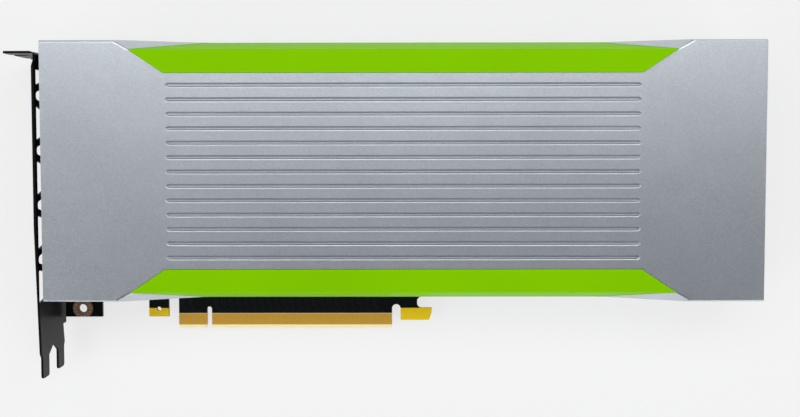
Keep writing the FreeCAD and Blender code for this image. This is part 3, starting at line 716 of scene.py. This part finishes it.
def screw_mesh(name, head_r, head_t, shank_r, length, countersunk):
    """Screw along +Z with a six-lobe recess, its head's outer face at Z = 0."""
    sides = 36
    lobes = 6
    lobe_depth = 0.16
    tip = 0.35 * shank_r
    recess_r = 0.50 * head_r
    recess_floor_r = 0.9 * recess_r
    recess_depth = 0.62 * head_t

    def plain(radius):
        return lambda turn: radius

    def lobed(radius):
        return lambda turn: radius * (1 + lobe_depth * math.cos(lobes * turn))

    loops = [(length, plain(shank_r - tip)), (length - tip, plain(shank_r)),
             (head_t, plain(shank_r))]
    if countersunk:
        land = 0.06 * head_t
        corner = 0.05 * head_t
        loops += [(land, plain(head_r)), (0.0, plain(head_r - corner))]
    else:
        dome = 0.32 * head_t
        crown = 0.08 * head_t
        shoulder_r = 0.86 * head_r
        crown_r = 0.66 * head_r
        loops += [(head_t, plain(head_r)), (dome, plain(head_r)),
                  (crown, plain(shoulder_r)), (0.0, plain(crown_r))]
    loops += [(0.0, lobed(recess_r)), (recess_depth, lobed(recess_floor_r))]
    return ring_mesh(name, loops, sides)


def screw_row(name, mesh, material, node, head_r, columns, rows):
    """Screws pointing up from the back of the card, at the places of a CAD node's screws."""
    low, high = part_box(node)
    centre = Vector(((low.x + high.x) / 2, (low.y + high.y) / 2, low.z))
    return repeated(name, mesh, material, columns, rows,
                    high.x - low.x - 2 * head_r, high.y - low.y - 2 * head_r, centre)


class CARD_OT_screws(bpy.types.Operator):
    """Screws with six-lobe recesses in the backplate, spring, bracket and shroud"""

    bl_idname = "card.screws"
    bl_label = "Screws"

    def execute(self, context):
        flat_head_r = 2.4 * MM
        flat_head_t = 1.2 * MM
        pan_head_r = 2.7 * MM
        pan_head_t = 1.3 * MM
        shank_r = 1.2 * MM
        side_length = 4.4 * MM
        zinc = smooth_metal("zinc_steel", (0.52, 0.53, 0.55), roughness=0.32)
        oxide = smooth_metal("black_oxide", (0.035, 0.035, 0.037), roughness=0.38)

        low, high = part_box("backplate_screws")
        flat = screw_mesh("flat_screw", flat_head_r, flat_head_t, shank_r, high.z - low.z,
                          countersunk=True)
        piece = screw_row("backplate_flat_screws", flat, oxide, "backplate_screws",
                          flat_head_r, columns=4, rows=2)
        keep(piece, "screw_black", "backplate_screws")

        for node, name, columns in (("spring_screws", "spring_pan_screws", 2),
                                    ("bracket_screws", "bracket_pan_screws", 1)):
            low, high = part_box(node)
            pan = screw_mesh("pan_screw", pan_head_r, pan_head_t, shank_r, high.z - low.z,
                             countersunk=False)
            piece = screw_row(name, pan, zinc, node, pan_head_r, columns, rows=2)
            keep(piece, "screw_steel", node)

        low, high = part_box("shroud_screws")
        centre_x = (low.x + high.x) / 2
        centre_z = (low.z + high.z) / 2
        span = high.x - low.x - 2 * flat_head_r
        sides = []
        for y, turn in ((low.y, -math.pi / 2), (high.y, math.pi / 2)):
            short = screw_mesh("side_screw", flat_head_r, flat_head_t, shank_r, side_length,
                               countersunk=True)
            sides.append(repeated("side_row", short, zinc, columns=3, rows=1, span_x=span,
                                  span_y=0.0, centre=(centre_x, y, centre_z),
                                  turn=(turn, 0.0, 0.0)))
        piece = joined("shroud_flat_screws", sides)
        keep(piece, "screw_steel", "shroud_screws")
        return {"FINISHED"}


# ---------------------------------------------------------------- shroud, trims and bracket

def in_grooves(point, box):
    """Whether a point of the shroud lies in its field of grooves."""
    low, high = box
    across = min(point.y - low.y, high.y - point.y)
    return point.z > high.z - GROOVE_BAND and across > GROOVE_MARGIN


class CARD_OT_shroud(bpy.types.Operator):
    """Folded satin shroud with softened edges"""

    bl_idname = "card.shroud"
    bl_label = "Shroud"

    def execute(self, context):
        shroud = context.scene.card_shroud
        piece = merged_copy("shroud", "shroud_shell", satin_silver(shroud))
        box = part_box("shroud")
        low, high = box
        short = 3.0 * MM
        near = 0.01 * MM
        trims = [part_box("upper_trim"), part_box("lower_trim")]

        def width_of(edge):
            ends = [vertex.co for vertex in edge.verts]
            middle = (ends[0] + ends[1]) / 2
            on_rim = any(all(abs(end.x - x) < near for end in ends) for x in (low.x, high.x))
            under_trim = any(all(inside(end, trim) for end in ends) for trim in trims)
            if in_grooves(middle, box) and not on_rim:
                turned_up = max(face.normal.y for face in edge.link_faces) > WALL_LEAN
                return shroud.lip if turned_up and edge.is_convex else shroud.rim
            if on_rim or under_trim or edge.calc_length() < short or not edge.is_convex:
                return shroud.rim
            return shroud.fold

        self.mark_shaded_walls(piece, box)
        round_edges(piece, weigh_edges(piece, width_of), segments=3, weighted=True)
        keep(piece, "shroud_silver", "shroud")
        return {"FINISHED"}

    def mark_shaded_walls(self, piece, box):
        """Marks the grooves' walls that face the board's fingers, which get painted shade."""
        mark = piece.data.attributes.new(SHADED_WALL_MARK, "FLOAT", "FACE")
        for face in piece.data.polygons:
            turned_down = face.normal.y < -WALL_LEAN
            mark.data[face.index].value = float(turned_down and in_grooves(face.center, box))


class CARD_OT_trims(bpy.types.Operator):
    """Green strips along the two long edges"""

    bl_idname = "card.trims"
    bl_label = "Trims"

    def execute(self, context):
        shroud = context.scene.card_shroud
        paint = trim_paint(shroud)
        for side in ("upper", "lower"):
            dressed(side + "_trim", side + "_trim_strip", "trim_green", paint, shroud.trim_edge)
        return {"FINISHED"}


class CARD_OT_bracket(bpy.types.Operator):
    """Powder-coated slot bracket"""

    bl_idname = "card.bracket"
    bl_label = "Slot bracket"

    def execute(self, context):
        dressed("slot_bracket", "slot_plate", "bracket_black", powder_black(),
                edge=0.18 * MM)
        return {"FINISHED"}


# ---------------------------------------------------------------- board

def bare_height(finger_high):
    """Where the solder mask starts above the fingers."""
    bare_strip = 0.35 * MM
    return finger_high.y + bare_strip


def add_slab(work, points, loops, height):
    """Closed slab on the board. Its loops of points share edges, and run anticlockwise."""
    upper = [work.verts.new((x, y, height)) for x, y in points]
    lower = [work.verts.new((x, y, 0.0)) for x, y in points]
    edges = [edge for loop in loops for edge in zip(loop, loop[1:] + loop[:1])]
    for loop in loops:
        work.faces.new([upper[number] for number in loop])
        work.faces.new([lower[number] for number in reversed(loop)])
    for start, end in edges:
        if (end, start) not in edges:
            work.faces.new((lower[start], lower[end], upper[end], upper[start]))


def trace_unit(settings, start, end):
    """Two traces that lean over side by side, and the via of the contact beside them."""
    half = settings.trace_width / 2
    rise = settings.trace_height
    knee = start + 0.7 * MM
    lean = 1.9 * MM
    climb = 1.6 * lean
    via_x = 2 * settings.pitch
    via_sides = 12
    work = bmesh.new()
    for x in (0.0, settings.pitch):
        path = [(x, start), (x, knee), (x - lean, knee + climb), (x - lean, end)]
        borders = [(px + side, py) for px, py in path for side in (-half, half)]
        quads = [(left, left + 1, left + 3, left + 2) for left in range(0, 2 * len(path) - 2, 2)]
        add_slab(work, borders, quads, rise)
    turns = [2 * math.pi * number / via_sides for number in range(via_sides)]
    ring = [(via_x - settings.via_radius * math.sin(turn),
             knee + settings.via_radius * math.cos(turn)) for turn in turns]
    add_slab(work, ring, [tuple(range(via_sides))], rise)
    mesh = bpy.data.meshes.new("trace_unit")
    work.to_mesh(mesh)
    work.free()
    return mesh


class CARD_OT_board(bpy.types.Operator):
    """Black circuit board with gold fingers, plated tabs and traces"""

    bl_idname = "card.board"
    bl_label = "Circuit board"

    def execute(self, context):
        board = context.scene.card_board
        low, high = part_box("edge_contacts_front")
        left_gap = 0.6 * MM
        right_gap = 1.0 * MM
        fingers = (low - Vector((left_gap, 0, 0)), high + Vector((right_gap, 0, 0)))
        coat(solder_mask(board, fingers, bare_height(high)), "circuit_board")
        coat(plated("finger_gold", board.gold, roughness=0.34, metal=0.2),
             "edge_contacts_front", "edge_contacts_back", "power_pins")
        coat(plated("tab_gold", board.bright_gold, roughness=0.42, metal=0.05),
             "hook_plating", "tab_plating")
        coat(ground_ring(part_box("ground_pad")), "ground_pad")
        self.add_traces(board, low, high)
        return {"FINISHED"}

    def add_traces(self, board, low, high):
        """Pairs of traces from both rows of fingers up to the shroud."""
        under_shroud = 1.5 * MM
        row_start = 2.5 * MM
        before_key = -2.5 * MM
        after_key = 3.9 * MM
        group = 3 * board.pitch
        shroud_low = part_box("shroud")[0]
        unit = trace_unit(board, bare_height(high), shroud_low.y + under_shroud)
        copper = masked_copper(board)
        for name, first, last in (("key_side_traces", low.x + row_start, before_key),
                                  ("finger_traces", after_key, high.x)):
            count = int((last - first) / group)
            span = group * (count - 1)
            piece = repeated(name, unit, copper, columns=count, rows=1, span_x=span,
                             span_y=0.0, centre=(first + span / 2, 0.0, 0.0))
            keep(piece, "board_black")


# ---------------------------------------------------------------- inner and rear pieces

class CARD_OT_cooler(bpy.types.Operator):
    """Fins, vapor chamber, frame and the parts under them"""

    bl_idname = "card.cooler"
    bl_label = "Cooler and inner parts"

    def execute(self, context):
        coat(bare_aluminium(), "fin_stack")
        coat(nickelled_copper(), "vapor_chamber")
        cast = cast_black("cast_black", level=0.035, roughness=0.55, grain=0.5 * MM)
        dressed("base_frame", "rail_frame", "frame_black", cast, edge=0.25 * MM)
        coat(moulded("chip_black", (0.03, 0.03, 0.032), roughness=0.45),
             "memory_chips", "power_stages")
        coat(moulded("thermal_pad", (0.30, 0.31, 0.36), roughness=0.75),
             "memory_pads", "power_stage_pads", "thermal_paste")
        coat(moulded("package_green", (0.05, 0.16, 0.07), roughness=0.4),
             "processor_substrate")
        coat(smooth_metal("silicon", (0.25, 0.26, 0.30), roughness=0.12), "processor_die")
        coat(moulded("pressed_powder", (0.06, 0.06, 0.065), roughness=0.6), "inductors")
        coat(smooth_metal("can_aluminium", (0.62, 0.62, 0.64), roughness=0.35), "capacitors")
        return {"FINISHED"}


class CARD_OT_connector(bpy.types.Operator):
    """Moulded power socket at the rear end"""

    bl_idname = "card.connector"
    bl_label = "Power connector"

    def execute(self, context):
        nylon = moulded("nylon_black", (0.018, 0.018, 0.019), roughness=0.42)
        dressed("power_connector", "power_socket", "connector_black", nylon, edge=0.12 * MM)
        return {"FINISHED"}


class CARD_OT_back(bpy.types.Operator):
    """Backplate, insulation film and retention spring"""

    bl_idname = "card.back"
    bl_label = "Back"

    def execute(self, context):
        anodised = cast_black("anodised_black", level=0.022, roughness=0.48, grain=0.3 * MM)
        dressed("backplate", "back_tray", "backplate_black", anodised, edge=0.2 * MM)
        coat(moulded("film_black", grey(0.03), roughness=0.3), "insulation_film")
        steel = smooth_metal("spring_steel", (0.45, 0.45, 0.46), roughness=0.34)
        dressed("retention_spring", "cross_spring", "spring_steel", steel, edge=0.12 * MM)
        self.add_capacitors()
        return {"FINISHED"}

    def add_capacitors(self):
        """Chip capacitors behind the processor, in the spring's window."""
        low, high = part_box("processor_die")
        board_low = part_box("circuit_board")[0]
        half_length = 0.8 * MM
        half_width = 0.4 * MM
        height = 0.6 * MM
        end = 0.35 * MM
        slimmer = 0.94
        step = 2.3 * MM
        columns = int((high.x - low.x) / step)
        centre = ((low.x + high.x) / 2, (low.y + high.y) / 2, board_low.z)
        waist = half_length - end
        body = box_mesh("capacitor_body",
                        [((-waist, -half_width * slimmer, -height * slimmer),
                          (waist, half_width * slimmer, 0.0))])
        ends = box_mesh("capacitor_ends",
                        [((-half_length, -half_width, -height), (-waist, half_width, 0.0)),
                         ((waist, -half_width, -height), (half_length, half_width, 0.0))])
        ceramic = moulded("ceramic_brown", (0.30, 0.20, 0.12), roughness=0.5)
        tin = plated("tinned_end", grey(0.70), roughness=0.35, metal=0.9)
        for name, mesh, material in (("chip_capacitor_bodies", body, ceramic),
                                     ("chip_capacitor_ends", ends, tin)):
            piece = repeated(name, mesh, material, columns, columns, high.x - low.x,
                             high.y - low.y, centre, kept=0.86, seed=4)
            keep(piece, "capacitor_can")


# ---------------------------------------------------------------- stage

class CARD_OT_stage(bpy.types.Operator):
    """Pale floor, soft lamps and the camera over the card"""

    bl_idname = "card.stage"
    bl_label = "Stage"

    def execute(self, context):
        stage = context.scene.card_stage
        self.add_floor(stage)
        self.light_room(context.scene, stage)
        down = Vector((0, 0, -1))
        main_size = (stage.softbox_width, stage.softbox_depth)
        overhead_size = (1.0, 0.5)
        for name, place, size, power in (
                ("main_softbox", stage.softbox_place, main_size, stage.softbox_power),
                ("overhead_softbox", (-0.17, 0.06, 1.0), overhead_size, stage.overhead_power)):
            self.add_softbox(name, Vector(place), Vector(place) + down, size, power)
        centre = (cad_low + cad_high) / 2
        fill_size = (1.0, 0.8)
        rim_size = (0.6, 0.25)
        right_share = 0.7
        right_power = stage.fill_power * right_share
        for name, away, size, power in (
                ("left_softbox", (-1.15, -0.55, 0.85), fill_size, stage.fill_power),
                ("right_softbox", (1.15, -0.55, 0.85), fill_size, right_power),
                ("left_rim_softbox", (-0.75, -1.30, 0.34), rim_size, stage.rim_power),
                ("right_rim_softbox", (0.75, -1.30, 0.34), rim_size, stage.rim_power)):
            self.add_softbox(name, centre + Vector(away), centre, size, power)
        self.add_camera(context.scene, stage)
        context.scene.view_settings.view_transform = "Standard"
        return {"FINISHED"}

    def add_floor(self, stage):
        """Floor under the card. Camera, gloss and glass see most of it in its plain colour."""
        material, tree = new_finish("pale_floor")
        camera, gloss, glass = tree.rays("Is Camera Ray", "Is Glossy Ray",
                                         "Is Transmission Ray")
        seen = camera * stage.floor_glow + (gloss + glass) * stage.floor_gloss
        colour = tree.tint(tree.noise(30 * MM), stage.floor, darkest=0.995, lightest=1.0)
        matt = tree.add("ShaderNodeBsdfDiffuse", inputs={"Color": colour})
        plain = tree.add("ShaderNodeEmission", inputs={"Color": opaque(stage.floor)})
        mixed = tree.add("ShaderNodeMixShader", inputs={0: seen, 1: matt, 2: plain})
        tree.add("ShaderNodeOutputMaterial", inputs={"Surface": mixed})
        reach = 3.0
        work = bmesh.new()
        corners = [work.verts.new((x * reach, y * reach, cad_low.z))
                   for x, y in ((-1, -1), (1, -1), (1, 1), (-1, 1))]
        work.faces.new(corners)
        mesh = bpy.data.meshes.new("floor")
        work.to_mesh(mesh)
        work.free()
        new_piece("floor", mesh, material)

    def light_room(self, scene, stage):
        """Dim ceiling, bright walls, and the pale background that the camera sees."""
        world = bpy.data.worlds.new("room")
        scene.world = world
        world.use_nodes = True
        tree = NodeTree(world.node_tree)
        # Each stop is a place between two opposite sides and the walls' share of light there.
        floor_to_ceiling = ((0.50, 1.0), (0.58, 0.8), (0.70, 0.12), (0.85, 0.0))
        front_to_back = ((0.015, 0.8), (0.05, 1.0))
        seen = tree.rays("Is Camera Ray")[0]
        _, y, z = tree.split(tree.add("ShaderNodeTexCoord", output="Generated"))
        level = tree.ramp((z + 1.0) * 0.5, floor_to_ceiling)
        front = tree.ramp((y + 1.0) * 0.5, front_to_back)
        colour = tree.mix(level * front, opaque(stage.zenith), opaque(stage.horizon))
        room = tree.add("ShaderNodeBackground", inputs={"Color": colour, "Strength": 1.0})
        plain = tree.add("ShaderNodeBackground",
                         inputs={"Color": opaque(stage.floor), "Strength": 1.0})
        mixed = tree.add("ShaderNodeMixShader", inputs={0: seen, 1: room, 2: plain})
        tree.add("ShaderNodeOutputWorld", inputs={"Surface": mixed})

    def add_softbox(self, name, place, target, size, power):
        """Rectangular lamp that faces a target."""
        lamp = bpy.data.lights.new(name, "AREA")
        lamp.shape = "RECTANGLE"
        lamp.size, lamp.size_y = size
        lamp.energy = power
        holder = bpy.data.objects.new(name, lamp)
        holder.location = place
        holder.rotation_euler = (target - place).to_track_quat("-Z", "Y").to_euler()
        bpy.context.scene.collection.objects.link(holder)

    def add_camera(self, scene, stage):
        """Camera over the card, looking down at it."""
        camera = bpy.data.cameras.new("camera")
        camera.lens = stage.lens
        camera.sensor_width = 36.0
        camera.clip_start = 0.01
        holder = bpy.data.objects.new("camera", camera)
        holder.location = stage.camera_place
        holder.rotation_mode = "ZXY"
        holder.rotation_euler = Euler(stage.camera_turn, "ZXY")
        scene.collection.objects.link(holder)
        scene.camera = holder


# ---------------------------------------------------------------- panel

PIECES = (CARD_OT_shroud, CARD_OT_trims, CARD_OT_bracket, CARD_OT_board, CARD_OT_cooler,
          CARD_OT_connector, CARD_OT_back, CARD_OT_screws, CARD_OT_stage)
SETTINGS = (ShroudSettings, BoardSettings, StageSettings)


class CARD_PT_sidebar(bpy.types.Panel):
    """Buttons for the pieces of the card"""

    bl_label = "Accelerator card"
    bl_idname = "CARD_PT_sidebar"
    bl_space_type = "VIEW_3D"
    bl_region_type = "UI"
    bl_category = "Card"

    def draw(self, context):
        for piece in PIECES:
            self.layout.operator(piece.bl_idname)
        for group in (context.scene.card_shroud, context.scene.card_board,
                      context.scene.card_stage):
            for name in group.__annotations__:
                self.layout.prop(group, name)


def register():
    for kind in (*SETTINGS, *PIECES, CARD_PT_sidebar):
        bpy.utils.register_class(kind)
    bpy.types.Scene.card_shroud = PointerProperty(type=ShroudSettings)
    bpy.types.Scene.card_board = PointerProperty(type=BoardSettings)
    bpy.types.Scene.card_stage = PointerProperty(type=StageSettings)


def unregister():
    del bpy.types.Scene.card_shroud
    del bpy.types.Scene.card_board
    del bpy.types.Scene.card_stage
    for kind in reversed((*SETTINGS, *PIECES, CARD_PT_sidebar)):
        bpy.utils.unregister_class(kind)


def main():
    """Builds every piece in order."""
    register()
    bpy.ops.card.stage()
    bpy.ops.card.shroud()
    bpy.ops.card.trims()
    bpy.ops.card.bracket()
    bpy.ops.card.board()
    bpy.ops.card.cooler()
    bpy.ops.card.connector()
    bpy.ops.card.back()
    bpy.ops.card.screws()


if __name__ == "__main__":
    main()
